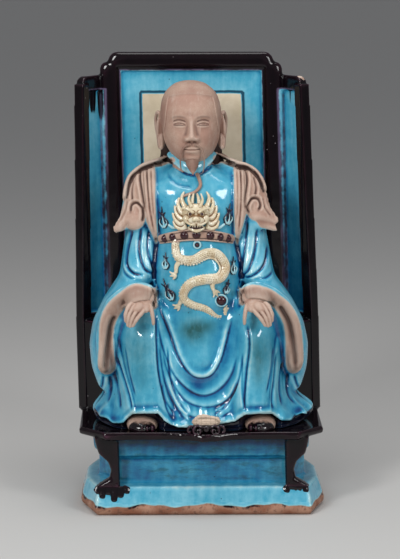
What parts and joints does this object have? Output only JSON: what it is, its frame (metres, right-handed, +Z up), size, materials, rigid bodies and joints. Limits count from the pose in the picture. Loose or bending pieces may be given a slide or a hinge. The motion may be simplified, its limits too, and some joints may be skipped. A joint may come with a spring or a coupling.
{
  "type": "glazed porcelain figure",
  "caption": "Robed bearded figure seated on a tall framed throne with angled wings, on a stepped eight-sided base, in turquoise and aubergine glaze with bare clay.",
  "frame": {"origin": "on the underside of the base, under the middle of the whole outline", "axes": "+Z up, -Y the front that the figure faces, +X to the right of someone who looks at the front"},
  "size_m": [0.226, 0.1476, 0.402],
  "materials": {
    "turquoise_glaze": "glossy turquoise glaze on porcelain, bare along the rim",
    "aubergine_glaze": "glossy near-black aubergine glaze with thin purple edges",
    "robe_glaze": "glossy turquoise glaze pooled in the folds, head, hands and cape in bare clay",
    "dark_glaze": "glossy aubergine glaze with a bare shell"
  },
  "bodies": {
    "root": {"stepped_base": "turquoise_glaze", "throne": "aubergine_glaze", "seated_figure": "robe_glaze", "tortoise_and_snake": "dark_glaze"}
  },
  "joints": []
}
